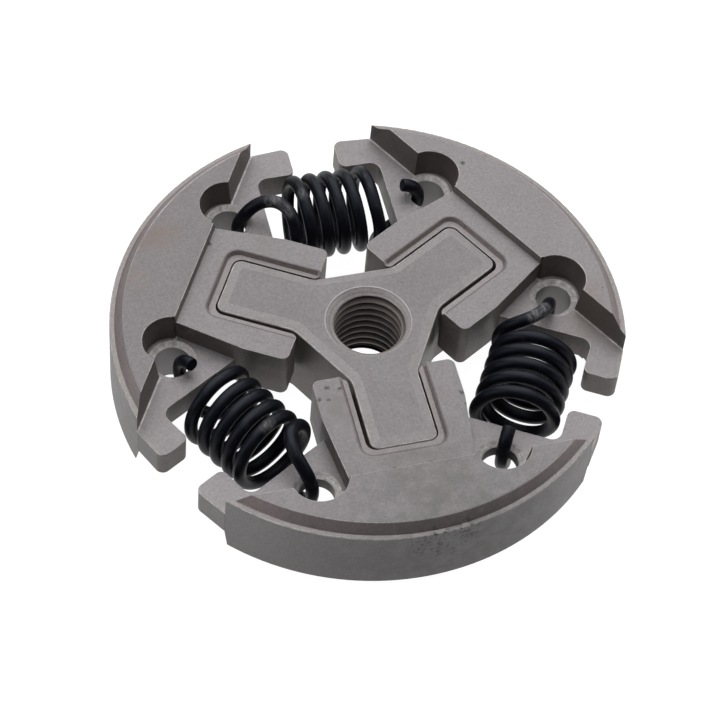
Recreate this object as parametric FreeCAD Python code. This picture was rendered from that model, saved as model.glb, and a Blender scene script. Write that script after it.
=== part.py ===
import FreeCAD, Part
import math
import os

# Three-shoe centrifugal clutch. A three-armed hub screws onto a shaft, each
# arm guides one sliding shoe, and three tension springs hold the shoes in.
# Millimetres, +Z up, origin on the bore axis at the hub's lower face.

# ---- driving dimensions -------------------------------------------------
R_OUT = 32.5            # friction radius of the shoes at rest
SHOE_ANGLES = {"shoe_right": 30.0, "shoe_left": 150.0, "shoe_front": 270.0}
SPRING_ANGLES = {"spring_rear": 90.0, "spring_left": 210.0, "spring_right": 330.0}
# each shoe rests a little to one side of its arm, inside the guide clearance
SHOE_SIDE_PLAY = {"shoe_right": -0.17, "shoe_left": 0.17, "shoe_front": -0.17}

# heights
Z_HUB_TOP = 11.8
Z_RIM_TOP = 13.1
Z_LEDGE = 11.9
Z_BLOCK_TOP = 12.07
Z_EAR_TOP = 9.1
Z_EAR_BOT = 5.2
Z_BLOCK_BOT = 4.65
Z_RIM_BOT = 2.25

# hub
ARM_HALF = 4.25
ARM_TIP = 18.92
ARM_TIP_R = 1.15
FACET = 7.92
ROOT_R = 2.5
HUB_BEVEL_W = 1.3
HUB_BEVEL_H = 0.3
BORE_R = 4.33           # crest radius of the M10 x 1.25 left-hand thread
BORE_CHAMFER_R = 5.48
BORE_CHAMFER_H = 0.9

# shoe rim
R_RIM_TOP = 30.83
R_LEDGE_IN = 31.88
RIM_LOW_CHAMFER = 0.2
CHORD_MID_TOP = 23.0
CHORD_MID_LOW = 22.78
CHORD_END_TOP = 23.3
STRIP_HALF = 7.9
CHORD_END_LOW = 22.75
TIP_IN = 22.78          # the end walls stand out to here at the rim's tips
Z_BEND = 12.7           # height where the bend towards the tip meets the outer slope
RIM_INNER_LOW = 23.1
FOOT_IN = 21.95         # the rim reaches further in below the ears
FOOT_HALF = 18.0
FOOT_TOP = 7.2

# shoe block and guide slot
BLOCK_HALF_ROOT = 7.95
BLOCK_HALF = 9.15
BLOCK_KINK = 13.6
BLOCK_END = 7.85
BLOCK_END_R = 0.95
SLOT_HALF = 4.6
SLOT_END = 19.05
SLOT_R = 1.35
SLOT_MOUTH_R = 0.85
RECESS_HALF = 5.5
RECESS_END = 20.07
RECESS_R = 1.75
RECESS_SLOPE = 0.3
RECESS_DEPTH = 0.56

# spring ears, in spring coordinates: s along the spring, r out from the axis
EAR_S = 8.2
LUG_S = 3.05
LUG_R_IN = 27.4
LUG_R_OUT = 31.92
EAR_CORNER_S = 8.06
EAR_CORNER_R = 31.55
HOLE_U = 22.05
HOLE_V = 11.62
HOLE_R = 2.3
SINK_R = 3.05
SINK_H = 0.5
SINK_LOW_R = 3.61       # wider and deeper under the ear, where the hook bends in
SINK_LOW_H = 1.65
NOTCH_U = 22.27
NOTCH_V = 11.5
NOTCH_R_LOW = 3.2
NOTCH_R_TOP = 3.62

# springs, in spring coordinates: s along the coil, r out from the bore axis, z
WIRE_R = 0.85
COIL_R = 4.8            # mean coil radius
COIL_RC = 20.95         # coil axis distance from the bore axis
COIL_Z = 7.75
COIL_PITCH = 2.15
COIL_START = 235.0      # turning angle where the -s hook leaves the coil
COIL_FULL = 5           # whole turns between the coil's two mid-plane marks
# centre line of the -s hook from the coil to its tip; the +s hook is the same
# hook turned half round about the radial line through the coil's middle
HOOK = [(-5.36, 16.42, 5.95), (-5.44, 15.95, 8.16), (-5.47, 16.49, 10.23), (-5.70, 17.88, 11.81),
        (-6.48, 19.49, 12.63), (-7.97, 20.62, 12.62), (-9.72, 21.05, 11.80), (-11.28, 21.0, 10.17),
        (-12.08, 20.95, 8.45), (-12.16, 20.95, 7.12), (-11.88, 20.95, 5.75), (-11.02, 20.95, 4.68),
        (-9.80, 20.95, 4.15)]

EDGE_R = 0.14           # softened edges of the shoes
HUB_EDGE_R = 0.25
os.makedirs("parts", exist_ok=True)
V = FreeCAD.Vector
C30 = math.cos(math.radians(30.0))


def rounded_wire(points, radii, z):
    """Closed wire at height z through corner points, each rounded by its radius."""
    n = len(points)
    ends = []
    for i in range(n):
        p = V(points[i][0], points[i][1], z)
        a = V(points[i - 1][0], points[i - 1][1], z) - p
        b = V(points[(i + 1) % n][0], points[(i + 1) % n][1], z) - p
        if radii[i] <= 0.0:
            ends.append((p, None, p))
            continue
        a.normalize()
        b.normalize()
        half = 0.5 * math.acos(max(-1.0, min(1.0, a.dot(b))))
        t = radii[i] / math.tan(half)
        m = a + b
        m.normalize()
        centre = p + m * (radii[i] / math.sin(half))
        ends.append((p + a * t, centre - m * radii[i], p + b * t))
    edges = []
    for i in range(n):
        start, mid, end = ends[i]
        if mid is not None:
            edges.append(Part.Arc(start, mid, end).toShape())
        nxt = ends[(i + 1) % n][0]
        if end.distanceToPoint(nxt) > 1e-6:
            edges.append(Part.LineSegment(end, nxt).toShape())
    return Part.Wire(edges)


def prism(points, radii, z0, z1, soft=0.0):
    """Upright prism on a rounded outline, its top and bottom edges softened."""
    solid = Part.Face(rounded_wire(points, radii, z0)).extrude(V(0, 0, z1 - z0))
    if soft > 0.0:
        flat = [e for e in solid.Edges if e.BoundBox.ZLength < 1e-6]
        solid = solid.makeFillet(soft, flat)
    return solid


def soften(solid, radius, z, clear=0.0):
    """Soften the edges that lie at height z, further out than clear from the bore axis."""
    edges = []
    for e in solid.Edges:
        p = e.valueAt(e.FirstParameter)
        if abs(e.BoundBox.ZMin - z) < 1e-5 and abs(e.BoundBox.ZMax - z) < 1e-5 and math.hypot(p.x, p.y) > clear:
            edges.append(e)
    return solid.makeFillet(radius, edges)


def side_prism(points_uz, v0, v1):
    """Prism along v from a polygon in the radial (u, z) plane."""
    pts = [V(u, v0, z) for u, z in points_uz]
    return Part.Face(Part.makePolygon(pts + pts[:1])).extrude(V(0, v1 - v0, 0))


def sr_to_uv(s, r):
    """Spring coordinates to the coordinates of the shoe at the spring's +s end."""
    return (C30 * s + 0.5 * r, -0.5 * s + C30 * r)


# ---- hub ----------------------------------------------------------------
def hub_outline(inset, z):
    half = ARM_HALF - inset
    tip = ARM_TIP - inset
    facet = FACET - inset
    root = (facet - C30 * half) / 0.5
    pts, rad = [], []
    for k in range(3):
        a = math.radians(30.0 + 120.0 * k)
        ca, sa = math.cos(a), math.sin(a)
        for u, v, r in ((root, -half, ROOT_R + inset), (tip, -half, max(ARM_TIP_R - inset, 0.25)),
                        (tip, half, max(ARM_TIP_R - inset, 0.25)), (root, half, ROOT_R + inset)):
            pts.append((u * ca - v * sa, u * sa + v * ca))
            rad.append(r)
    return rounded_wire(pts, rad, z)


def make_hub():
    z_bevel = Z_HUB_TOP - HUB_BEVEL_H
    body = Part.Face(hub_outline(0.0, 0.0)).extrude(V(0, 0, z_bevel))
    crown = Part.makeLoft([hub_outline(0.0, z_bevel), hub_outline(HUB_BEVEL_W, Z_HUB_TOP)], True, True)
    hub = body.fuse(crown).removeSplitter()
    bore = Part.makeCylinder(BORE_R, Z_HUB_TOP + 2.0, V(0, 0, -1.0))
    top = Part.makeCone(BORE_R, BORE_CHAMFER_R, BORE_CHAMFER_H, V(0, 0, Z_HUB_TOP - BORE_CHAMFER_H))
    hub = hub.cut(bore).cut(top)
    for z in (Z_HUB_TOP, z_bevel, 0.0):
        hub = soften(hub, HUB_EDGE_R, z, BORE_CHAMFER_R + 0.5)
    return hub


# ---- shoe, built with its arm along +X ----------------------------------
def make_shoe():
    prof = [(0, Z_RIM_BOT), (R_OUT - RIM_LOW_CHAMFER, Z_RIM_BOT), (R_OUT, Z_RIM_BOT + RIM_LOW_CHAMFER),
            (R_OUT, Z_LEDGE - EDGE_R), (R_OUT - EDGE_R, Z_LEDGE), (R_LEDGE_IN, Z_LEDGE), (R_RIM_TOP, Z_RIM_TOP), (0, Z_RIM_TOP)]
    pts = [V(r, 0, z) for r, z in prof]
    lines = [Part.LineSegment(a, b).toShape() for a, b in zip(pts, pts[1:] + pts[:1])]
    k = EDGE_R * (1.0 - math.sqrt(0.5))
    lines[3] = Part.Arc(pts[3], V(R_OUT - k, 0, Z_LEDGE - k), pts[4]).toShape()
    disc = Part.Face(Part.Wire(lines)).revolve(V(0, 0, 0), V(0, 0, 1), 360)
    slope = (CHORD_END_TOP - CHORD_END_LOW) / (Z_RIM_TOP - Z_EAR_TOP)
    keep = side_prism([(CHORD_END_TOP + slope, Z_RIM_TOP + 1.0), (CHORD_END_LOW, Z_EAR_TOP),
                       (CHORD_END_LOW, Z_EAR_BOT), (RIM_INNER_LOW, Z_RIM_BOT), (RIM_INNER_LOW, 0.0),
                       (40.0, 0.0), (40.0, Z_RIM_TOP + 1.0)], -40.0, 40.0)
    rim = disc.common(keep)
    # near the tips the end walls bend forward, along a line from the outer slope to the tip's foot
    r_bend = R_RIM_TOP + (R_LEDGE_IN - R_RIM_TOP) * (Z_RIM_TOP - Z_BEND) / (Z_RIM_TOP - Z_LEDGE)
    u_bend = CHORD_END_LOW + slope * (Z_BEND - Z_EAR_TOP)
    high = (u_bend, math.sqrt(r_bend ** 2 - u_bend ** 2), Z_BEND)
    foot_pt = (CHORD_END_LOW, math.sqrt(R_OUT ** 2 - CHORD_END_LOW ** 2), Z_EAR_TOP)
    head = (TIP_IN, math.sqrt(R_OUT ** 2 - TIP_IN ** 2), Z_LEDGE)
    n = (V(*high) - V(*foot_pt)).cross(V(*head) - V(*foot_pt))
    near = high[1] - 0.06
    def front(v, z):
        return foot_pt[0] - (n.y * (v - foot_pt[1]) + n.z * (z - foot_pt[2])) / n.x
    for sv in (1.0, -1.0):
        rings = []
        for z in (Z_EAR_TOP, Z_RIM_TOP):
            rings.append([V(front(near, z), sv * near, z), V(front(24.5, z), sv * 24.5, z), V(26.0, sv * 24.5, z), V(26.0, sv * near, z)])
        low, up = rings
        faces = [low, up] + [[low[i], low[(i + 1) % 4], up[(i + 1) % 4], up[i]] for i in range(4)]
        tip = Part.Solid(Part.Shell([Part.Face(Part.makePolygon(f + f[:1])) for f in faces]))
        if tip.Volume < 0.0:
            tip.reverse()
        rim = rim.fuse(disc.common(tip))
    rim = rim.removeSplitter()
    strip = side_prism([(CHORD_MID_TOP, Z_RIM_TOP), (CHORD_MID_LOW, Z_BLOCK_TOP), (CHORD_MID_LOW, Z_BLOCK_BOT),
                        (24.5, Z_BLOCK_BOT), (24.5, Z_RIM_TOP)], -STRIP_HALF, STRIP_HALF)
    foot = Part.makeBox(CHORD_END_LOW + 0.6 - FOOT_IN, 2.0 * FOOT_HALF, FOOT_TOP - Z_RIM_BOT, V(FOOT_IN, -FOOT_HALF, Z_RIM_BOT))
    rim = rim.fuse([strip, foot])
    notch_slope = (NOTCH_R_TOP - NOTCH_R_LOW) / (Z_RIM_TOP - Z_EAR_TOP)
    for sv in (1.0, -1.0):
        cone = Part.makeCone(NOTCH_R_LOW, NOTCH_R_TOP + notch_slope, Z_RIM_TOP + 1.0 - Z_EAR_TOP,
                             V(NOTCH_U, sv * NOTCH_V, Z_EAR_TOP))
        rim = rim.cut(cone)

    e = CHORD_MID_LOW + 0.6
    half = [(e, BLOCK_HALF_ROOT - 0.05, 0.0), (CHORD_MID_LOW, BLOCK_HALF_ROOT, 0.0), (BLOCK_KINK, BLOCK_HALF, 3.0),
            (BLOCK_END, BLOCK_HALF, BLOCK_END_R), (BLOCK_END, SLOT_HALF, SLOT_MOUTH_R), (SLOT_END, SLOT_HALF, SLOT_R)]
    loop = half + [(u, -v, r) for u, v, r in reversed(half)]
    block = prism([(u, v) for u, v, r in loop], [r for u, v, r in loop], Z_BLOCK_BOT, Z_BLOCK_TOP, EDGE_R)

    u_side = (EAR_S + 0.5 * BLOCK_HALF) / C30
    ear_pts = [(u_side - 0.6, BLOCK_HALF - 1.2), sr_to_uv(EAR_S, 17.0), sr_to_uv(EAR_S, LUG_R_IN), sr_to_uv(LUG_S, LUG_R_IN),
               sr_to_uv(LUG_S, LUG_R_OUT), sr_to_uv(EAR_CORNER_S, EAR_CORNER_R), (CHORD_END_LOW + 0.8, 21.8), (CHORD_END_LOW + 0.8, 6.5)]
    ear_rad = [0, 0, 1.35, 0.95, 1.05, 0, 0, 0]
    ear_a = prism(ear_pts, ear_rad, Z_EAR_BOT, Z_EAR_TOP, EDGE_R)
    ear_b = prism([(u, -v) for u, v in ear_pts], ear_rad, Z_EAR_BOT, Z_EAR_TOP, EDGE_R)
    ear_a = ear_a.cut(Part.makeCone(SINK_LOW_R, HOLE_R, SINK_LOW_H, V(HOLE_U, HOLE_V, Z_EAR_BOT)))
    ear_b = ear_b.cut(Part.makeCone(SINK_LOW_R, HOLE_R, SINK_LOW_H, V(HOLE_U, -HOLE_V, Z_EAR_BOT)))

    shoe = rim.fuse([block, ear_a, ear_b]).removeSplitter()

    inner = RECESS_SLOPE
    z_low = Z_BLOCK_TOP - RECESS_DEPTH
    k = 1.0 / RECESS_DEPTH
    over = 0.3                       # carry the slope above the block's top
    def border(grow, z):
        return rounded_wire([(RECESS_END + grow, RECESS_HALF + grow), (2.0, RECESS_HALF + grow),
                             (2.0, -RECESS_HALF - grow), (RECESS_END + grow, -RECESS_HALF - grow)],
                            [RECESS_R + grow, 0, 0, RECESS_R + grow], z)
    recess = Part.makeLoft([border(-inner, z_low), border(inner * over * k, Z_BLOCK_TOP + over)], True, True)
    shoe = shoe.cut(recess)
    for z in (Z_RIM_TOP, Z_RIM_BOT):
        shoe = soften(shoe, EDGE_R, z)
    for sv in (1.0, -1.0):
        c = V(HOLE_U, sv * HOLE_V, 0)
        shoe = shoe.cut(Part.makeCylinder(HOLE_R, Z_EAR_TOP + 1.0, c))
        shoe = shoe.cut(Part.makeCone(HOLE_R, SINK_R, SINK_H, c + V(0, 0, Z_EAR_TOP - SINK_H)))
        shoe = shoe.cut(Part.makeCone(SINK_R, HOLE_R, SINK_H, c + V(0, 0, Z_RIM_BOT)))
    return shoe


# ---- springs ------------------------------------------------------------
def biarc(p0, t0, p1, t1):
    """Two tangent arcs from p0 (direction t0) to p1 (direction t1): the middle point and its direction."""
    v = p1 - p0
    w = v.dot(t0 + t1)
    k = 2.0 * (1.0 - t0.dot(t1))
    vv = v.dot(v)
    d = vv / (2.0 * w) if k < 1e-9 else (-w + math.sqrt(w * w + k * vv)) / k
    q0 = p0 + t0 * d
    q1 = p1 - t1 * d
    tm = q1 - q0
    tm.normalize()
    return (q0 + q1) * 0.5, tm


def tube(nodes, radius):
    """Round wire through (point, direction) nodes, every stretch an exact arc of a ring."""
    chain = [nodes[0]]
    for (p0, t0), (p1, t1) in zip(nodes, nodes[1:]):
        chain.append(biarc(p0, t0, p1, t1))
        chain.append((p1, t1))
    p, t = chain[0]
    ring = Part.Wire([Part.makeCircle(radius, p, t)])
    faces = [Part.Face(ring)]
    for (a, ta), (b, tb) in zip(chain, chain[1:]):
        c = b - a
        m = c - ta * c.dot(ta)
        if m.Length < 1e-7:
            faces += ring.extrude(c).Faces
            ring = ring.copy()
            ring.translate(c)
            continue
        m.normalize()
        big = c.dot(c) / (2.0 * c.dot(m))
        turn = math.degrees(2.0 * math.atan2(c.dot(m), c.dot(ta)))
        centre = a + m * big
        axis = ta.cross(m)
        faces += ring.revolve(centre, axis, turn).Faces
        ring = ring.copy()
        ring.rotate(centre, axis, turn)
    faces.append(Part.Face(ring))
    shell = Part.makeCompound(faces)
    shell.sewShape()
    solid = Part.makeSolid(shell.Shells[0] if shell.Shells else shell)
    if solid.Volume < 0:
        solid.reverse()
    return solid


def spring_nodes():
    mid = COIL_FULL * 180.0 + 180.0
    nodes = []
    ang = COIL_START
    last = 2.0 * mid - COIL_START
    n = int(math.ceil((last - ang) / 72.0))
    for i in range(n + 1):
        a = ang + (last - ang) * i / n
        ra = math.radians(a)
        p = V(COIL_PITCH * (a - mid) / 360.0, COIL_RC + COIL_R * math.cos(ra), COIL_Z + COIL_R * math.sin(ra))
        t = V(COIL_PITCH / (2.0 * math.pi), -COIL_R * math.sin(ra), COIL_R * math.cos(ra))
        t.normalize()
        nodes.append((p, t))
    pts = [nodes[0][0]] + [V(*h) for h in HOOK]
    hook = []
    for i in range(1, len(pts)):
        a = pts[i] - pts[i - 1]
        if i + 1 < len(pts):
            b = pts[i + 1] - pts[i]
            t = a * (b.Length / a.Length) + b * (a.Length / b.Length)
        else:
            prev = hook[-1][1]
            t = a * (2.0 * a.dot(prev) / a.dot(a)) - prev
        t.normalize()
        hook.append((pts[i], t))
    # run from the -s tip through the coil to the +s tip
    lead = [(p, t * -1.0) for p, t in reversed(hook)]
    trail = [(V(-p.x, p.y, 2.0 * COIL_Z - p.z), V(-t.x, t.y, -t.z)) for p, t in hook]
    return lead + nodes + trail


def make_spring(angle):
    a = math.radians(angle)
    out = []
    for p, t in spring_nodes():
        out.append((V(p.y * math.cos(a) + p.x * math.sin(a), p.y * math.sin(a) - p.x * math.cos(a), p.z),
                    V(t.y * math.cos(a) + t.x * math.sin(a), t.y * math.sin(a) - t.x * math.cos(a), t.z)))
    return tube(out, WIRE_R)


hub = make_hub()
hub.exportStep("parts/hub.step")
shoe = make_shoe()
for name, ang in SHOE_ANGLES.items():
    s = shoe.copy()
    s.translate(V(0, SHOE_SIDE_PLAY[name], 0))
    s.rotate(V(0, 0, 0), V(0, 0, 1), ang)
    s.exportStep("parts/%s.step" % name)
print("hub", hub.isValid(), len(hub.Solids), round(hub.Volume, 1))
print("shoe", shoe.isValid(), len(shoe.Solids), round(shoe.Volume, 1))
for name, ang in SPRING_ANGLES.items():
    sp = make_spring(ang)
    sp.exportStep("parts/%s.step" % name)
    print(name, sp.isValid(), len(sp.Solids), len(sp.Faces), round(sp.Volume, 1))
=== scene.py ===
import math

import bmesh
import bpy
import numpy as np
from mathutils import Matrix, Vector


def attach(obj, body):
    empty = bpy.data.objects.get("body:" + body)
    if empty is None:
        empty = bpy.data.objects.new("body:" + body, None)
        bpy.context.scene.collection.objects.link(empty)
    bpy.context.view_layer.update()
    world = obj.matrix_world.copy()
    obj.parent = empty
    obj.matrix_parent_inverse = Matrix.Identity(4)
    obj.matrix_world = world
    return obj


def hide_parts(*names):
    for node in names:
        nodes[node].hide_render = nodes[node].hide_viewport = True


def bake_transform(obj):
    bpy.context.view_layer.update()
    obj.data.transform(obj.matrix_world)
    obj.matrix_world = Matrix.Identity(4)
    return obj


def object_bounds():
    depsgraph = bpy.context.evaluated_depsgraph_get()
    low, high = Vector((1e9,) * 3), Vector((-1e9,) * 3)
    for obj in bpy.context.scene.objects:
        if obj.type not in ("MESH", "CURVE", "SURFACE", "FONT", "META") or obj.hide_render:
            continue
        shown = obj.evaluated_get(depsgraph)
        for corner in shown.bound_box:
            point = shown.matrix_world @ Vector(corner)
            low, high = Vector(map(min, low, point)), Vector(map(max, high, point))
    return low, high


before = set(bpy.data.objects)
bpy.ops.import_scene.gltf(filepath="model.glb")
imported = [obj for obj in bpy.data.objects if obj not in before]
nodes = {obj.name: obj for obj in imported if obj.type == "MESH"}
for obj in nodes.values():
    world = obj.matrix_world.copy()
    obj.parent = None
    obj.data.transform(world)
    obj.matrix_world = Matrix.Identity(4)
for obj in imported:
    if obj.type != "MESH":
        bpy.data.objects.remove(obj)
cad_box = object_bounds()
scene = bpy.context.scene
MM = 0.001

SHOES = ("shoe_right", "shoe_left", "shoe_front")
SPRINGS = {"spring_rear": (90.0, "shoe_left"), "spring_left": (210.0, "shoe_front"), "spring_right": (330.0, "shoe_right")}


# ------------------------------------------------------------------ node helpers
class Graph:
    """A small helper for building one material's node tree."""

    def __init__(self, name):
        self.mat = bpy.data.materials.new(name)
        self.mat.use_nodes = True
        self.nt = self.mat.node_tree
        self.nt.nodes.clear()
        self.out = self.nt.nodes.new("ShaderNodeOutputMaterial")

    def node(self, kind, **props):
        n = self.nt.nodes.new(kind)
        for k, v in props.items():
            setattr(n, k, v)
        return n

    def link(self, a, b):
        self.nt.links.new(a, b)

    def value(self, socket, x):
        if hasattr(x, "is_linked") or isinstance(x, bpy.types.NodeSocket):
            self.link(x, socket)
        else:
            socket.default_value = x

    def coords(self):
        return self.node("ShaderNodeTexCoord").outputs["Object"]

    def scaled(self, vec, scale, offset=(0.0, 0.0, 0.0)):
        m = self.node("ShaderNodeMapping")
        self.link(vec, m.inputs["Vector"])
        m.inputs["Scale"].default_value = scale if isinstance(scale, tuple) else (scale, scale, scale)
        m.inputs["Location"].default_value = offset
        return m.outputs["Vector"]

    def noise(self, vec, scale, detail=3.0, rough=0.55, offset=(0.0, 0.0, 0.0)):
        n = self.node("ShaderNodeTexNoise")
        self.link(self.scaled(vec, scale, offset), n.inputs["Vector"])
        n.inputs["Scale"].default_value = 1.0
        n.inputs["Detail"].default_value = detail
        n.inputs["Roughness"].default_value = rough
        return n.outputs["Fac"]

    def ramp(self, fac, stops):
        r = self.node("ShaderNodeValToRGB")
        self.link(fac, r.inputs["Fac"])
        el = r.color_ramp.elements
        while len(el) > 1:
            el.remove(el[-1])
        for i, (p, c) in enumerate(stops):
            e = el[0] if i == 0 else el.new(p)
            e.position = p
            e.color = tuple(c) + (1.0,) if not isinstance(c, float) else (c, c, c, 1.0)
        return r.outputs["Color"]

    def math(self, op, a, b=None, clamp=False):
        n = self.node("ShaderNodeMath", operation=op, use_clamp=clamp)
        self.value(n.inputs[0], a)
        if b is not None:
            self.value(n.inputs[1], b)
        return n.outputs[0]

    def mix(self, fac, a, b, mode="MIX"):
        n = self.node("ShaderNodeMix", data_type="RGBA", blend_type=mode)
        self.value(n.inputs[0], fac)
        self.value(n.inputs[6], a if not isinstance(a, tuple) else tuple(a) + (1.0,))
        self.value(n.inputs[7], b if not isinstance(b, tuple) else tuple(b) + (1.0,))
        return n.outputs[2]

    def spot(self, vec, centre, radius, soft=0.4):
        """1 inside a soft ball at a point given in millimetres, 0 outside."""
        d = self.node("ShaderNodeVectorMath", operation="DISTANCE")
        self.link(vec, d.inputs[0])
        d.inputs[1].default_value = [c * MM for c in centre]
        r = self.node("ShaderNodeMapRange", interpolation_type="SMOOTHSTEP")
        self.link(d.outputs["Value"], r.inputs["Value"])
        r.inputs["From Min"].default_value = radius * MM * (1.0 - soft)
        r.inputs["From Max"].default_value = radius * MM
        r.inputs["To Min"].default_value = 1.0
        r.inputs["To Max"].default_value = 0.0
        return r.outputs["Result"]

    def span(self, value, start, end):
        """0 before start and 1 after end (both in millimetres), smooth between; falls when end is below start."""
        lo, hi = min(start, end), max(start, end)
        r = self.node("ShaderNodeMapRange", interpolation_type="SMOOTHSTEP")
        self.link(value, r.inputs["Value"])
        r.inputs["From Min"].default_value = lo * MM
        r.inputs["From Max"].default_value = hi * MM
        r.inputs["To Min"].default_value = 0.0 if start < end else 1.0
        r.inputs["To Max"].default_value = 1.0 if start < end else 0.0
        return r.outputs["Result"]

    def away(self, vec, point):
        """Distance from a fixed point (metres)."""
        d = self.node("ShaderNodeVectorMath", operation="DISTANCE")
        self.link(vec, d.inputs[0])
        d.inputs[1].default_value = point
        return d.outputs["Value"]

    def warped(self, vec, scale, reach, offset):
        """The coordinates pushed about by up to half of reach (mm), for ragged outlines."""
        n = self.node("ShaderNodeTexNoise")
        self.link(self.scaled(vec, scale, offset), n.inputs["Vector"])
        n.inputs["Scale"].default_value = 1.0
        n.inputs["Detail"].default_value = 2.0
        c = self.node("ShaderNodeVectorMath", operation="SUBTRACT")
        self.link(n.outputs["Color"], c.inputs[0])
        c.inputs[1].default_value = (0.5, 0.5, 0.5)
        m = self.node("ShaderNodeVectorMath", operation="SCALE")
        self.link(c.outputs["Vector"], m.inputs[0])
        m.inputs["Scale"].default_value = reach * MM
        a = self.node("ShaderNodeVectorMath", operation="ADD")
        self.link(vec, a.inputs[0])
        self.link(m.outputs["Vector"], a.inputs[1])
        return a.outputs["Vector"]

    def along(self, value, scale, seed):
        """Noise along one length, for turned or drawn lines."""
        n = self.node("ShaderNodeTexNoise", noise_dimensions="1D")
        self.link(self.math("ADD", self.math("MULTIPLY", value, scale), seed * 7.3), n.inputs["W"])
        n.inputs["Scale"].default_value = 1.0
        n.inputs["Detail"].default_value = 2.0
        return n.outputs["Fac"]

    def bump(self, height, strength, distance, normal=None):
        b = self.node("ShaderNodeBump")
        b.inputs["Strength"].default_value = strength
        b.inputs["Distance"].default_value = distance
        self.link(height, b.inputs["Height"])
        if normal is not None:
            self.link(normal, b.inputs["Normal"])
        return b.outputs["Normal"]

    def surface(self, **inputs):
        p = self.node("ShaderNodeBsdfPrincipled")
        for k, v in inputs.items():
            self.value(p.inputs[k.replace("_", " ")], v)
        self.link(p.outputs["BSDF"], self.out.inputs["Surface"])
        return p


BORE_MINOR, BORE_MAJOR, PITCH = 4.33, 4.97, 1.25
HUB_TOP = 11.8
CONE_R, CONE_H = 5.48, 0.9
HOLE_U, HOLE_V, SINK_R = 22.05, 11.62, 3.05
NOTCH_U, NOTCH_V = 22.27, 11.5
SHOE_PLACE = {"shoe_right": (30.0, -0.17), "shoe_left": (150.0, 0.17), "shoe_front": (270.0, -0.17)}


def hole_axes(name, u=HOLE_U, v=HOLE_V):
    """Where the two spring holes of a shoe stand, in plan (mm)."""
    angle, play = SHOE_PLACE[name]
    c, s = math.cos(math.radians(angle)), math.sin(math.radians(angle))
    return [(u * c - (w + play) * s, u * s + (w + play) * c) for w in (-v, v)]


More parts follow.
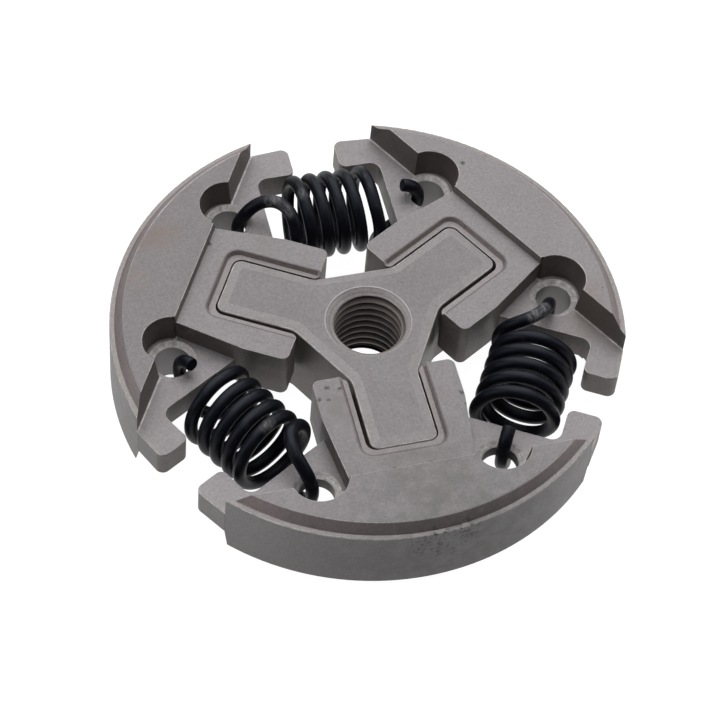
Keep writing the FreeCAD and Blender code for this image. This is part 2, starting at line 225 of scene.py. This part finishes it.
def steel(name, seed, height_shading, holes=(), marks=(), stains=(), specks=(), facing=None):
    """Matt sintered steel: tops painted lighter and walls darker and warmer as painted light and shade, edges painted
    bright as wear and highlight, machined holes, grain and pits.

    the height factors give painted light and shade, lighter or darker for each height in mm; marks are small dark
    nicks, stains are soft brown patches and specks are patches of fine dark spots."""
    g = Graph(name)
    co = g.coords()
    off = (seed * 3.7, seed * 1.3, seed * 2.1)
    slow = g.noise(co, 95.0, 3.0, 0.6, off)
    mid = g.noise(co, 520.0, 4.0, 0.6, off)
    grain = g.noise(co, 2900.0, 3.0, 0.7, off)
    place = g.node("ShaderNodeSeparateXYZ")
    g.link(co, place.inputs["Vector"])
    height = place.outputs["Z"]
    flat = g.node("ShaderNodeVectorMath", operation="MULTIPLY")
    g.link(co, flat.inputs[0])
    flat.inputs[1].default_value = (1.0, 1.0, 0.0)
    flat = flat.outputs["Vector"]
    radius = g.away(flat, (0.0, 0.0, 0.0))
    shoe = facing is not None
    geo = g.node("ShaderNodeNewGeometry")
    sep = g.node("ShaderNodeSeparateXYZ")
    g.link(geo.outputs["Normal"], sep.inputs["Vector"])
    tilt = g.math("ABSOLUTE", sep.outputs["Z"])

    # painted light and shade: faces that point up take the lighter top tone, walls a darker and warmer tone, picked by
    # the way each face points
    top = g.ramp(slow, [(0.25, (0.127, 0.114, 0.115)), (0.55, (0.137, 0.126, 0.129)), (0.8, (0.145, 0.136, 0.142))])
    shaded_wall_tone = g.ramp(slow, [(0.25, (0.104, 0.087, 0.085)), (0.55, (0.116, 0.099, 0.097)), (0.8, (0.128, 0.112, 0.110))])
    up = g.ramp(tilt, [(0.75, 0.0), (0.93, 1.0)])
    base = g.mix(up, shaded_wall_tone, top)
    # painted light and shade, by height
    base = g.mix(1.0, base, g.ramp(g.math("DIVIDE", height, 15.0 * MM), [(z / 15.0, f) for z, f in height_shading]), "MULTIPLY")
    # worn edges and painted highlight: rounded edges between tops and walls get a bright tone
    edge = g.ramp(tilt, [(0.18, 0.0), (0.42, 1.0), (0.90, 1.0), (0.965, 0.0)])
    edge = g.math("MULTIPLY", edge, g.ramp(mid, [(0.35, 0.55), (0.6, 1.0)]))
    if shoe:
        # the sloped shoulder outside the rim's top is a face of its own, not a bright edge
        slope = g.math("MULTIPLY", g.span(radius, 30.86, 30.94), g.span(radius, 31.96, 31.88))
        edge = g.math("MULTIPLY", edge, g.math("SUBTRACT", 1.0, slope))
        leant = g.ramp(tilt, [(0.45, 0.0), (0.55, 1.0), (0.80, 1.0), (0.90, 0.0)])
        out = g.node("ShaderNodeVectorMath", operation="DOT_PRODUCT")
        g.link(co, out.inputs[0])
        out.inputs[1].default_value = (math.cos(math.radians(facing)), math.sin(math.radians(facing)), 0.0)
        across = g.node("ShaderNodeVectorMath", operation="DOT_PRODUCT")
        g.link(co, across.inputs[0])
        across.inputs[1].default_value = (-math.sin(math.radians(facing)), math.cos(math.radians(facing)), 0.0)
        aside = g.math("ABSOLUTE", g.math("SUBTRACT", across.outputs["Value"], SHOE_PLACE[name.replace("_steel", "")][1] * MM))
        # painted light: the slope and the friction wall are painted lighter toward the ends of the shoe
        end_light = g.ramp(g.span(aside, 9.0, 21.0), [(0.0, 1.0), (0.45, 1.06), (1.0, 1.24)])
        # the sloped shoulder takes the shaded wall tone lifted by 1.22: painted light and shade
        base = g.mix(g.math("MULTIPLY", slope, leant), base, g.mix(1.0, g.mix(1.0, shaded_wall_tone, (1.22, 1.19, 1.21), "MULTIPLY"), end_light, "MULTIPLY"))
        # the step round the guide slot is a small wall, not a bright edge
        step = g.math("MULTIPLY", g.span(aside, 6.4, 6.3), g.math("MULTIPLY", g.span(out.outputs["Value"], 8.15, 8.25), g.span(out.outputs["Value"], 21.3, 21.2)))
        step = g.math("MULTIPLY", step, g.math("MULTIPLY", g.span(height, 11.48, 11.54), g.ramp(tilt, [(0.30, 0.0), (0.38, 1.0), (0.86, 1.0), (0.94, 0.0)])))
        edge = g.math("MULTIPLY", edge, g.math("SUBTRACT", 1.0, step))
        # the step wall takes the shaded wall tone lifted by 1.42, as painted shade
        base = g.mix(step, base, g.mix(1.0, shaded_wall_tone, (1.42, 1.42, 1.40), "MULTIPLY"))
        # painted shade along the step's upper border, and a lighter band on the floor inside it
        qv = g.math("MAXIMUM", g.math("SUBTRACT", aside, 3.75 * MM), 0.0)
        qu = g.math("MAXIMUM", g.math("SUBTRACT", out.outputs["Value"], 18.32 * MM), 0.0)
        reach = g.math("SQRT", g.math("ADD", g.math("MULTIPLY", qv, qv), g.math("MULTIPLY", qu, qu)))
        level = g.ramp(tilt, [(0.94, 0.0), (0.985, 1.0)])
        border_shade = g.math("MULTIPLY", g.math("MULTIPLY", g.span(reach, 1.70, 1.76), g.span(reach, 1.98, 1.90)), g.math("MULTIPLY", g.span(height, 11.95, 12.03), level))
        base = g.mix(g.math("MULTIPLY", border_shade, g.ramp(mid, [(0.35, 0.75), (0.6, 1.0)])), base, g.mix(1.0, base, (0.54, 0.50, 0.51), "MULTIPLY"))
        sill = g.math("MULTIPLY", g.math("MULTIPLY", g.span(reach, 1.50, 1.44), g.span(height, 11.60, 11.54)), g.math("MULTIPLY", g.span(height, 11.40, 11.46), level))
        base = g.mix(sill, base, g.mix(1.0, base, (1.14, 1.12, 1.11), "MULTIPLY"))
        # a painted highlight line along the foot of the chord walls, added to the bright edges
        foot_highlight = g.math("MULTIPLY", g.span(out.outputs["Value"], 22.50, 22.58), g.span(out.outputs["Value"], 22.95, 22.88))
        foot_highlight = g.math("MULTIPLY", foot_highlight, g.math("MULTIPLY", g.span(height, 9.0, 9.06), g.span(height, 9.22, 9.16)))
        edge = g.math("MAXIMUM", edge, g.math("MULTIPLY", foot_highlight, g.ramp(mid, [(0.35, 0.4), (0.6, 0.95)])))
        ground = g.ramp(slow, [(0.25, (0.096, 0.091, 0.089)), (0.8, (0.116, 0.111, 0.110))])
        wall = g.math("MULTIPLY", g.span(radius, 32.15, 32.3), g.ramp(tilt, [(0.12, 1.0), (0.30, 0.0)]))
        base = g.mix(wall, base, g.mix(1.0, ground, end_light, "MULTIPLY"))
        ledge = g.math("MULTIPLY", g.span(radius, 31.84, 31.96), g.ramp(tilt, [(0.90, 0.0), (0.97, 1.0)]))
        base = g.mix(ledge, base, (0.168, 0.155, 0.150))
    else:
        # the shallow bevel along the arms is coloured lighter than the top
        bevel = g.ramp(tilt, [(0.950, 0.0), (0.960, 1.0), (0.984, 1.0), (0.992, 0.0)])
        base = g.mix(g.math("MULTIPLY", bevel, g.ramp(mid, [(0.35, 0.6), (0.6, 1.0)])), base, (0.164, 0.151, 0.152))
    # the edges painted bright, partly as wear, partly as painted highlight
    base = g.mix(edge, base, (0.400, 0.374, 0.370))
    fine = g.ramp(grain, [(0.32, 0.84), (0.5, 1.0), (0.68, 1.16)])
    base = g.mix(1.0, base, fine, "MULTIPLY")
    cloud = g.ramp(mid, [(0.3, 0.95), (0.5, 1.0), (0.72, 1.04)])
    base = g.mix(1.0, base, cloud, "MULTIPLY")
    vor = g.node("ShaderNodeTexVoronoi", feature="F1")
    g.link(g.scaled(co, 420.0, off), vor.inputs["Vector"])
    vor.inputs["Scale"].default_value = 1.0
    pits = g.ramp(vor.outputs["Distance"], [(0.03, 1.0), (0.10, 0.0)])
    gate = g.ramp(g.noise(co, 240.0, 2.0, 0.5, (off[1], off[2], off[0])), [(0.60, 0.0), (0.68, 1.0)])
    pits = g.math("MULTIPLY", pits, gate)
    base = g.mix(g.math("MULTIPLY", pits, 0.55), base, (0.03, 0.027, 0.026))
    bent = g.warped(co, 1700.0, 0.85, off)
    spread = g.warped(co, 260.0, 2.2, off)
    for centre, size, colour, amount in stains:
        m = g.math("MULTIPLY", g.spot(spread, centre, size, 0.9), g.ramp(mid, [(0.38, 0.45 * amount), (0.58, amount)]))
        base = g.mix(m, base, colour)
    for centre, size, amount in specks:
        dots = g.ramp(g.noise(co, 1500.0, 2.0, 0.6, (off[1], off[0], off[2])), [(0.52, 0.0), (0.60, amount)])
        base = g.mix(g.math("MULTIPLY", g.spot(co, centre, size, 0.7), dots), base, (0.026, 0.022, 0.022))
    for centre, size, amount in marks:
        base = g.mix(g.math("MULTIPLY", g.spot(bent, centre, size, 0.6), amount), base, (0.020, 0.017, 0.017))
    rough = g.ramp(mid, [(0.3, 0.48), (0.7, 0.58)])

    # turned surfaces: the holes with their countersinks, and the mouth of the bore
    if shoe:
        # the rounded walls round the holes are painted darker, as shade in the pockets
        for x, y in hole_axes(name.replace("_steel", ""), NOTCH_U, NOTCH_V):
            d = g.math("SUBTRACT", g.away(flat, (x * MM, y * MM, 0.0)), g.math("MULTIPLY", g.math("SUBTRACT", height, 9.1 * MM), 0.105))
            pocket_shade = g.math("MULTIPLY", g.span(d, 3.32, 3.25), g.math("MULTIPLY", g.span(height, 9.1, 9.3), g.ramp(tilt, [(0.16, 1.0), (0.24, 0.0)])))
            base = g.mix(pocket_shade, base, g.mix(1.0, base, (0.66, 0.63, 0.62), "MULTIPLY"))
        for x, y in holes:
            d = g.away(flat, (x * MM, y * MM, 0.0))
            turned = g.span(d, SINK_R + 0.03, SINK_R - 0.04)
            lines = g.ramp(g.along(d, 3600.0, seed), [(0.3, 0.86), (0.5, 1.0), (0.7, 1.14)])
            torn = g.ramp(g.noise(co, 1500.0, 4.0, 0.7, off), [(0.35, 0.70), (0.5, 1.0), (0.66, 1.45)])
            cone = g.ramp(tilt, [(0.3, 0.0), (0.6, 1.0)])
            cut = g.mix(cone, (0.185, 0.178, 0.174), g.mix(1.0, (0.330, 0.312, 0.306), torn, "MULTIPLY"))
            base = g.mix(turned, base, g.mix(1.0, cut, lines, "MULTIPLY"))
    else:
        # the thread: crests lighter as wear, roots painted near black as shade, and the bore painted darker with depth
        # as shade
        thread_wear_and_shade = g.ramp(g.span(radius, BORE_MINOR, BORE_MAJOR), [(0.0, (0.200, 0.172, 0.158)), (0.04, (0.115, 0.097, 0.090)), (0.2, (0.062, 0.052, 0.048)), (0.8, (0.026, 0.022, 0.021))])
        thread_wear_and_shade = g.mix(1.0, thread_wear_and_shade, g.ramp(g.math("DIVIDE", height, 15.0 * MM), [(0.3, 0.75), (0.52, 1.0), (0.70, 1.5)]), "MULTIPLY")
        base = g.mix(g.math("MULTIPLY", g.span(radius, 5.06, 5.0), g.span(height, 10.95, 10.88)), base, thread_wear_and_shade)
        lines = g.ramp(g.along(radius, 4300.0, seed), [(0.3, 0.78), (0.5, 1.0), (0.7, 1.25)])
        mouth = g.math("MULTIPLY", g.span(radius, CONE_R + 0.03, CONE_R - 0.04), g.span(height, 10.86, 10.94))
        # a painted highlight along the outer edge of the bore's cone, only on the far side
        lip_highlight = g.math("MULTIPLY", g.span(radius, CONE_R - 0.10, CONE_R - 0.05), g.span(radius, CONE_R + 0.10, CONE_R + 0.05))
        base = g.mix(mouth, base, g.mix(1.0, (0.225, 0.210, 0.208), g.mix(1.0, lines, fine, "MULTIPLY"), "MULTIPLY"))
        lip_highlight = g.math("MULTIPLY", lip_highlight, g.math("MULTIPLY", g.span(place.outputs["Y"], -4.0, 0.5), g.span(height, 11.5, 11.7)))
        base = g.mix(g.math("MULTIPLY", lip_highlight, g.ramp(mid, [(0.35, 0.25), (0.65, 0.9)])), base, (0.300, 0.285, 0.282))
    h = g.math("ADD", g.math("MULTIPLY", grain, 0.6), g.math("MULTIPLY", mid, 0.5))
    h = g.math("SUBTRACT", h, g.math("MULTIPLY", pits, 0.8))
    n = g.bump(h, 0.35, 0.00006)
    g.surface(Base_Color=base, Metallic=0.4, Roughness=rough, Normal=n)
    return g.mat


def spring_wire(name, seed, rub_highlights=()):
    """Black oxide spring wire: dull, with painted highlight streaks at given places, scuffs and dust."""
    g = Graph(name)
    co = g.coords()
    off = (seed * 2.9, seed * 4.1, seed * 1.7)
    n1 = g.noise(co, 700.0, 4.0, 0.6, off)
    n2 = g.noise(co, 2600.0, 2.0, 0.55, off)
    base = g.ramp(n1, [(0.3, (0.0022, 0.0025, 0.0044)), (0.7, (0.0040, 0.0044, 0.0074))])
    scuff = g.ramp(g.noise(co, 380.0, 5.0, 0.7, (off[2], off[0], off[1])), [(0.62, 0.0), (0.74, 1.0)])
    base = g.mix(g.math("MULTIPLY", scuff, 0.25), base, (0.060, 0.058, 0.058))
    # painted highlights: bright streaks at the given places
    for centre, size, amount in rub_highlights:
        highlight_streak = g.ramp(g.noise(co, (2400.0, 900.0, 2400.0), 3.0, 0.65, off), [(0.40, 0.15 * amount), (0.62, amount)])
        base = g.mix(g.math("MULTIPLY", g.spot(co, centre, size, 0.8), highlight_streak), base, (0.130, 0.125, 0.128))
    vor = g.node("ShaderNodeTexVoronoi", feature="F1")
    g.link(g.scaled(co, 360.0, off), vor.inputs["Vector"])
    vor.inputs["Scale"].default_value = 1.0
    dust = g.ramp(vor.outputs["Distance"], [(0.02, 1.0), (0.06, 0.0)])
    gate = g.ramp(g.noise(co, 300.0, 2.0, 0.5, off), [(0.56, 0.0), (0.64, 1.0)])
    dust = g.math("MULTIPLY", dust, gate)
    base = g.mix(g.math("MULTIPLY", dust, 0.5), base, (0.25, 0.24, 0.23))
    rough = g.ramp(n1, [(0.3, 0.32), (0.7, 0.44)])
    n = g.bump(g.math("ADD", g.math("MULTIPLY", n1, 0.7), g.math("MULTIPLY", n2, 0.3)), 0.25, 0.00006)
    g.surface(Base_Color=base, Metallic=0.0, Roughness=rough, Specular_IOR_Level=0.145, Specular_Tint=(0.84, 0.88, 1.0, 1.0), Normal=n)
    return g.mat


# ------------------------------------------------------------------ hub with its thread
def thread_radius(theta, z):
    """Wall radius of the left-hand thread at an angle and height, both chamfers included."""
    phase = (z / PITCH + theta / (2.0 * math.pi) + 0.82) % 1.0
    # flat crest, flank, narrow root, flank
    x = abs(phase - 0.5) * 2.0
    groove = min(1.0, max(0.0, (0.80 - x) / 0.62))
    r = BORE_MINOR + (BORE_MAJOR - BORE_MINOR) * groove
    top = BORE_MINOR + (CONE_R - BORE_MINOR) * (z - (HUB_TOP - CONE_H)) / CONE_H
    low = BORE_MINOR + 0.55 * (0.55 - z) / 0.55
    return max(r, top, low)


def make_hub():
    src = nodes["hub"]
    me = src.data.copy()
    me.name = "hub_threaded"
    ob = bpy.data.objects.new("hub_threaded", me)
    scene.collection.objects.link(ob)
    bm = bmesh.new()
    bm.from_mesh(me)
    bmesh.ops.remove_doubles(bm, verts=bm.verts, dist=1e-7)
    lim = (CONE_R + 0.01) * MM
    doomed = [f for f in bm.faces if all(math.hypot(v.co.x, v.co.y) < lim for v in f.verts)]
    bmesh.ops.delete(bm, geom=doomed, context="FACES")
    loose = [v for v in bm.verts if not v.link_faces]
    bmesh.ops.delete(bm, geom=loose, context="VERTS")
    n_th, n_z = 288, 150
    z0, z1 = 0.0, HUB_TOP
    rings = []
    for j in range(n_z + 1):
        z = z0 + (z1 - z0) * j / n_z
        ring = []
        for i in range(n_th):
            t = 2.0 * math.pi * i / n_th
            r = thread_radius(t, z)
            if j == n_z:
                r = CONE_R - 0.02
            if j == 0:
                r = BORE_MINOR + 0.55
            ring.append(bm.verts.new((r * math.cos(t) * MM, r * math.sin(t) * MM, z * MM)))
        rings.append(ring)
    for j in range(n_z):
        for i in range(n_th):
            a, b = rings[j][i], rings[j][(i + 1) % n_th]
            c, d = rings[j + 1][(i + 1) % n_th], rings[j + 1][i]
            f = bm.faces.new((a, d, c, b))
            f.smooth = True
    bm.edges.ensure_lookup_table()
    open_edges = [e for e in bm.edges if len(e.link_faces) == 1]
    top = [e for e in open_edges if all(v.co.z > (HUB_TOP - 0.05) * MM for v in e.verts)]
    low = [e for e in open_edges if all(v.co.z < 0.05 * MM for v in e.verts)]
    for part in (top, low):
        bmesh.ops.bridge_loops(bm, edges=part)
    bmesh.ops.recalc_face_normals(bm, faces=bm.faces)
    bm.to_mesh(me)
    bm.free()
    return ob


# ------------------------------------------------------------------ springs
WIRE_R, COIL_R, COIL_RC, COIL_Z, COIL_PITCH = 0.85, 4.8, 20.95, 7.75, 2.15
COIL_START, COIL_MID = 235.0, 1080.0
HOOK = [(-5.36, 16.42, 5.95), (-5.44, 15.95, 8.16), (-5.47, 16.49, 10.23), (-5.70, 17.88, 11.81),
        (-6.48, 19.49, 12.63), (-7.97, 20.62, 12.62), (-9.72, 21.05, 11.80), (-11.28, 21.0, 10.17),
        (-12.08, 20.95, 8.45), (-12.16, 20.95, 7.12), (-11.88, 20.95, 5.75), (-11.02, 20.95, 4.68),
        (-9.80, 20.95, 4.15)]
COIL_SHIFT, END_SPREAD = 0.08, 0.28


def smooth(x):
    x = min(1.0, max(0.0, x))
    return x * x * (3.0 - 2.0 * x)


def cubic(points, samples_per_mm):
    """Points along the natural cubic spline through the given points, spaced by chord length."""
    p = np.array(points, float)
    h = np.linalg.norm(np.diff(p, axis=0), axis=1)
    u = np.r_[0.0, np.cumsum(h)]
    n = len(p)
    a = np.zeros((n, n))
    b = np.zeros((n, 3))
    a[0, 0] = a[-1, -1] = 1.0
    for i in range(1, n - 1):
        a[i, i - 1], a[i, i], a[i, i + 1] = h[i - 1], 2.0 * (h[i - 1] + h[i]), h[i]
        b[i] = 6.0 * ((p[i + 1] - p[i]) / h[i] - (p[i] - p[i - 1]) / h[i - 1])
    m = np.linalg.solve(a, b)
    out = []
    count = int(u[-1] * samples_per_mm)
    for t in np.linspace(0.0, u[-1], count):
        i = min(n - 2, max(0, int(np.searchsorted(u, t, "right")) - 1))
        d0, d1 = u[i + 1] - t, t - u[i]
        out.append((m[i] * d0 ** 3 + m[i + 1] * d1 ** 3) / (6.0 * h[i])
                   + (p[i] / h[i] - m[i] * h[i] / 6.0) * d0 + (p[i + 1] / h[i] - m[i + 1] * h[i] / 6.0) * d1)
    return np.array(out)


def spring_path():
    pts = []
    n = len(HOOK)
    for k in range(n - 1, -1, -1):
        s, r, z = HOOK[k]
        pts.append((s + COIL_SHIFT * (1.0 - smooth(k / 6.0)), r, z))
    a = COIL_START
    while a <= 2.0 * COIL_MID - COIL_START + 1e-6:
        t = math.radians(a)
        s = COIL_PITCH * (a - COIL_MID) / 360.0 + COIL_SHIFT + END_SPREAD * smooth((a - 1480.0) / 340.0)
        pts.append((s, COIL_RC + COIL_R * math.cos(t), COIL_Z + COIL_R * math.sin(t)))
        a += (2.0 * COIL_MID - 2.0 * COIL_START) / 64.0
    for k in range(n):
        s, r, z = HOOK[k]
        pts.append((-s + (COIL_SHIFT + END_SPREAD) * (1.0 - smooth(k / 6.0)), r, 2.0 * COIL_Z - z))
    return cubic(pts, 3.2)


def make_spring(name, angle):
    path = spring_path()
    ca, sa = math.cos(math.radians(angle)), math.sin(math.radians(angle))
    pts = [Vector((r * ca + s * sa, r * sa - s * ca, z)) * MM for s, r, z in path]
    sides = 28
    bm = bmesh.new()
    rings = []
    tangent = [(pts[min(i + 1, len(pts) - 1)] - pts[max(i - 1, 0)]).normalized() for i in range(len(pts))]
    ref = tangent[0].orthogonal().normalized()
    edge = 0.12
    last = len(pts) - 1
    stations = [(0, 0.0, (WIRE_R - edge) / WIRE_R), (0, 0.35 * edge, (WIRE_R - 0.3 * edge) / WIRE_R), (0, edge, 1.0)]
    stations += [(i, 0.0, 1.0) for i in range(1, last)]
    stations += [(last, -edge, 1.0), (last, -0.35 * edge, (WIRE_R - 0.3 * edge) / WIRE_R), (last, 0.0, (WIRE_R - edge) / WIRE_R)]
    for i, shift, grow in stations:
        t = tangent[i]
        ref = (ref - t * ref.dot(t)).normalized()
        other = t.cross(ref)
        c = pts[i] + t * shift * MM
        rings.append([bm.verts.new(c + (ref * math.cos(q) + other * math.sin(q)) * WIRE_R * grow * MM)
                      for q in (2.0 * math.pi * k / sides for k in range(sides))])
    for a, b in zip(rings, rings[1:]):
        for k in range(sides):
            f = bm.faces.new((a[k], a[(k + 1) % sides], b[(k + 1) % sides], b[k]))
            f.smooth = True
    bm.faces.new(list(reversed(rings[0])))
    bm.faces.new(rings[-1])
    bmesh.ops.recalc_face_normals(bm, faces=bm.faces)
    me = bpy.data.meshes.new(name)
    bm.to_mesh(me)
    bm.free()
    ob = bpy.data.objects.new(name, me)
    scene.collection.objects.link(ob)
    return ob


# ------------------------------------------------------------------ build the pieces
hub_mat = steel("hub_steel", 1.0, [(10.0, 1.0), (11.4, 0.92), (11.8, 0.86)])
hub = make_hub()
hub.data.materials.clear()
hub.data.materials.append(hub_mat)
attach(hub, "hub")
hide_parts("hub")

# painted light and shade: brightness of the ears, the guide block and the rim of each shoe, by height in mm
HEIGHT_SHADING = {
    "shoe_right": [(8.0, 1.0), (9.05, 1.14), (9.2, 1.14), (10.5, 1.0), (12.07, 1.0), (13.1, 1.02)],
    "shoe_left": [(8.0, 1.0), (9.05, 1.16), (9.2, 1.16), (10.5, 1.0), (12.07, 0.98), (13.1, 0.83)],
    "shoe_front": [(8.0, 1.0), (9.05, 1.15), (9.2, 1.15), (10.5, 1.0), (12.07, 0.95), (13.1, 0.92)],
}
MARKS = {
    "shoe_right": [((18.14, 21.66, 13.1), 0.42, 0.9)],
    "shoe_left": [((-17.05, 15.75, 12.1), 0.34, 0.9)],
    "shoe_front": [((-7.60, -9.20, 12.07), 0.40, 0.8), ((-6.02, -9.53, 12.07), 0.42, 0.8), ((-8.99, -10.77, 12.07), 0.42, 0.85),
                   ((-7.90, -10.99, 12.07), 0.34, 0.7), ((8.61, -13.12, 12.07), 0.40, 0.8), ((8.73, -14.84, 12.07), 0.36, 0.7),
                   ((-6.34, -22.60, 12.1), 0.45, 0.8), ((-2.20, -22.57, 12.1), 0.42, 0.8), ((2.44, -22.63, 12.1), 0.42, 0.8)],
}
STAINS = {
    "shoe_right": [((28.4, -3.2, 11.0), 5.0, (0.130, 0.098, 0.080), 0.6), ((15.0, 21.5, 11.0), 4.0, (0.120, 0.094, 0.080), 0.45)],
    "shoe_left": [((-24.58, 17.03, 13.1), 3.4, (0.115, 0.090, 0.080), 0.75), ((-22.33, 17.91, 13.1), 2.6, (0.115, 0.090, 0.080), 0.65),
                  ((-27.54, 11.89, 13.1), 3.0, (0.128, 0.104, 0.094), 0.5)],
    # the first front entry is a broad darkening over the front of the front shoe, centred low on its friction wall, not
    # a brown patch
    "shoe_front": [((3.0, -32.4, 8.0), 22.0, (0.060, 0.057, 0.056), 0.65), ((-7.7, -12.6, 12.07), 5.5, (0.110, 0.098, 0.099), 0.75)],
}
SPECKS = {
    "shoe_right": [],
    "shoe_left": [],
    "shoe_front": [((-0.97, -32.49, 9.91), 3.0, 0.85), ((1.66, -32.46, 8.31), 3.0, 0.85), ((4.06, -32.25, 10.15), 3.2, 0.9), ((0.76, -32.49, 11.38), 1.9, 0.85)],
}
for i, name in enumerate(SHOES):
    ob = nodes[name]
    mat = steel(name + "_steel", 2.0 + i, HEIGHT_SHADING[name], hole_axes(name), MARKS[name], STAINS[name], SPECKS[name], SHOE_PLACE[name][0])
    ob.data.materials.clear()
    ob.data.materials.append(mat)

# painted highlights on the wires, laid as rubbed streaks (mm)
RUB_HIGHLIGHTS = {
    "spring_rear": [((-7.8, 19.9, 13.3), 1.7, 0.8), ((-6.6, 18.2, 13.1), 1.5, 0.7), ((-3.84, 20.6, 13.2), 1.2, 0.5)],
    "spring_left": [((-16.15, -13.94, 13.24), 1.5, 0.6), ((-11.4, -13.2, 8.1), 1.4, 0.4)],
    "spring_right": [((20.53, -4.34, 13.3), 1.5, 0.9), ((21.97, -3.52, 13.07), 1.5, 0.9)],
}
for i, (name, (angle, home)) in enumerate(SPRINGS.items()):
    ob = make_spring(name + "_wire", angle)
    ob.data.materials.append(spring_wire(name + "_black", 5.0 + i, RUB_HIGHLIGHTS[name]))
    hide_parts(name)
    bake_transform(ob)

# ------------------------------------------------------------------ floor, light, camera
def pale(name, colour, glow):
    g = Graph(name)
    co = g.coords()
    base = g.ramp(g.noise(co, 4.0, 2.0, 0.5), [(0.3, tuple(c * 0.985 for c in colour)), (0.7, colour)])
    g.surface(Base_Color=base, Roughness=0.9, Specular_IOR_Level=0.1, Emission_Color=(1.0, 1.0, 1.0, 1.0), Emission_Strength=glow)
    return g.mat


me = bpy.data.meshes.new("floor")
S = 3.0
me.from_pydata([(-S, -S, 0.0), (S, -S, 0.0), (S, S, 0.0), (-S, S, 0.0)], [], [(0, 1, 2, 3)])
floor = bpy.data.objects.new("floor", me)
scene.collection.objects.link(floor)
floor.location.z = cad_box[0][2] - 0.00002
floor.data.materials.append(pale("floor_white", (0.14, 0.14, 0.14), 0.97))

world = bpy.data.worlds.new("studio")
scene.world = world
world.use_nodes = True
bg = world.node_tree.nodes["Background"]
bg.inputs["Color"].default_value = (1.0, 1.0, 1.0, 1.0)
bg.inputs["Strength"].default_value = 0.03


def area(name, pos, aim, size, power, colour=(1.0, 1.0, 1.0)):
    li = bpy.data.lights.new(name, "AREA")
    li.shape = "RECTANGLE"
    li.size, li.size_y = size
    li.energy = power
    li.color = colour
    ob = bpy.data.objects.new(name, li)
    scene.collection.objects.link(ob)
    ob.location = pos
    ob.rotation_euler = (Vector(aim) - Vector(pos)).to_track_quat("-Z", "Y").to_euler()
    return ob


area("overhead", (0.0, 0.0, 0.6), (0.0, 0.0, 0.0), (0.6, 0.6), 2.3)
area("behind", (0.05, 0.42, 0.5), (0.0, 0.0, 0.0), (1.0, 0.8), 6.9)
area("left", (-0.55, 0.0, 0.35), (0.0, 0.0, 0.0), (0.5, 0.5), 1.15)
area("right", (0.55, 0.0, 0.35), (0.0, 0.0, 0.0), (0.5, 0.5), 1.1)

cam = bpy.data.cameras.new("camera")
cam.sensor_fit = "HORIZONTAL"
cam.sensor_width = 36.0
cam.lens = 136.859
cam.clip_start = 0.01
cam.clip_end = 20.0
cam_ob = bpy.data.objects.new("camera", cam)
scene.collection.objects.link(cam_ob)
right = (0.96900675, -0.23974657, 0.05956084)
up = (0.16117776, 0.7962941, 0.58304154)
back = (-0.18721016, -0.55537131, 0.81025618)
pos = (-0.06641866869, -0.19528676771, 0.2884073378)
cam_ob.matrix_world = Matrix(((right[0], up[0], back[0], pos[0]), (right[1], up[1], back[1], pos[1]),
                              (right[2], up[2], back[2], pos[2]), (0.0, 0.0, 0.0, 1.0)))
scene.camera = cam_ob
scene.view_settings.view_transform = "Standard"
scene.view_settings.look = "None"
scene.view_settings.exposure = 0.0
scene.view_settings.gamma = 1.0
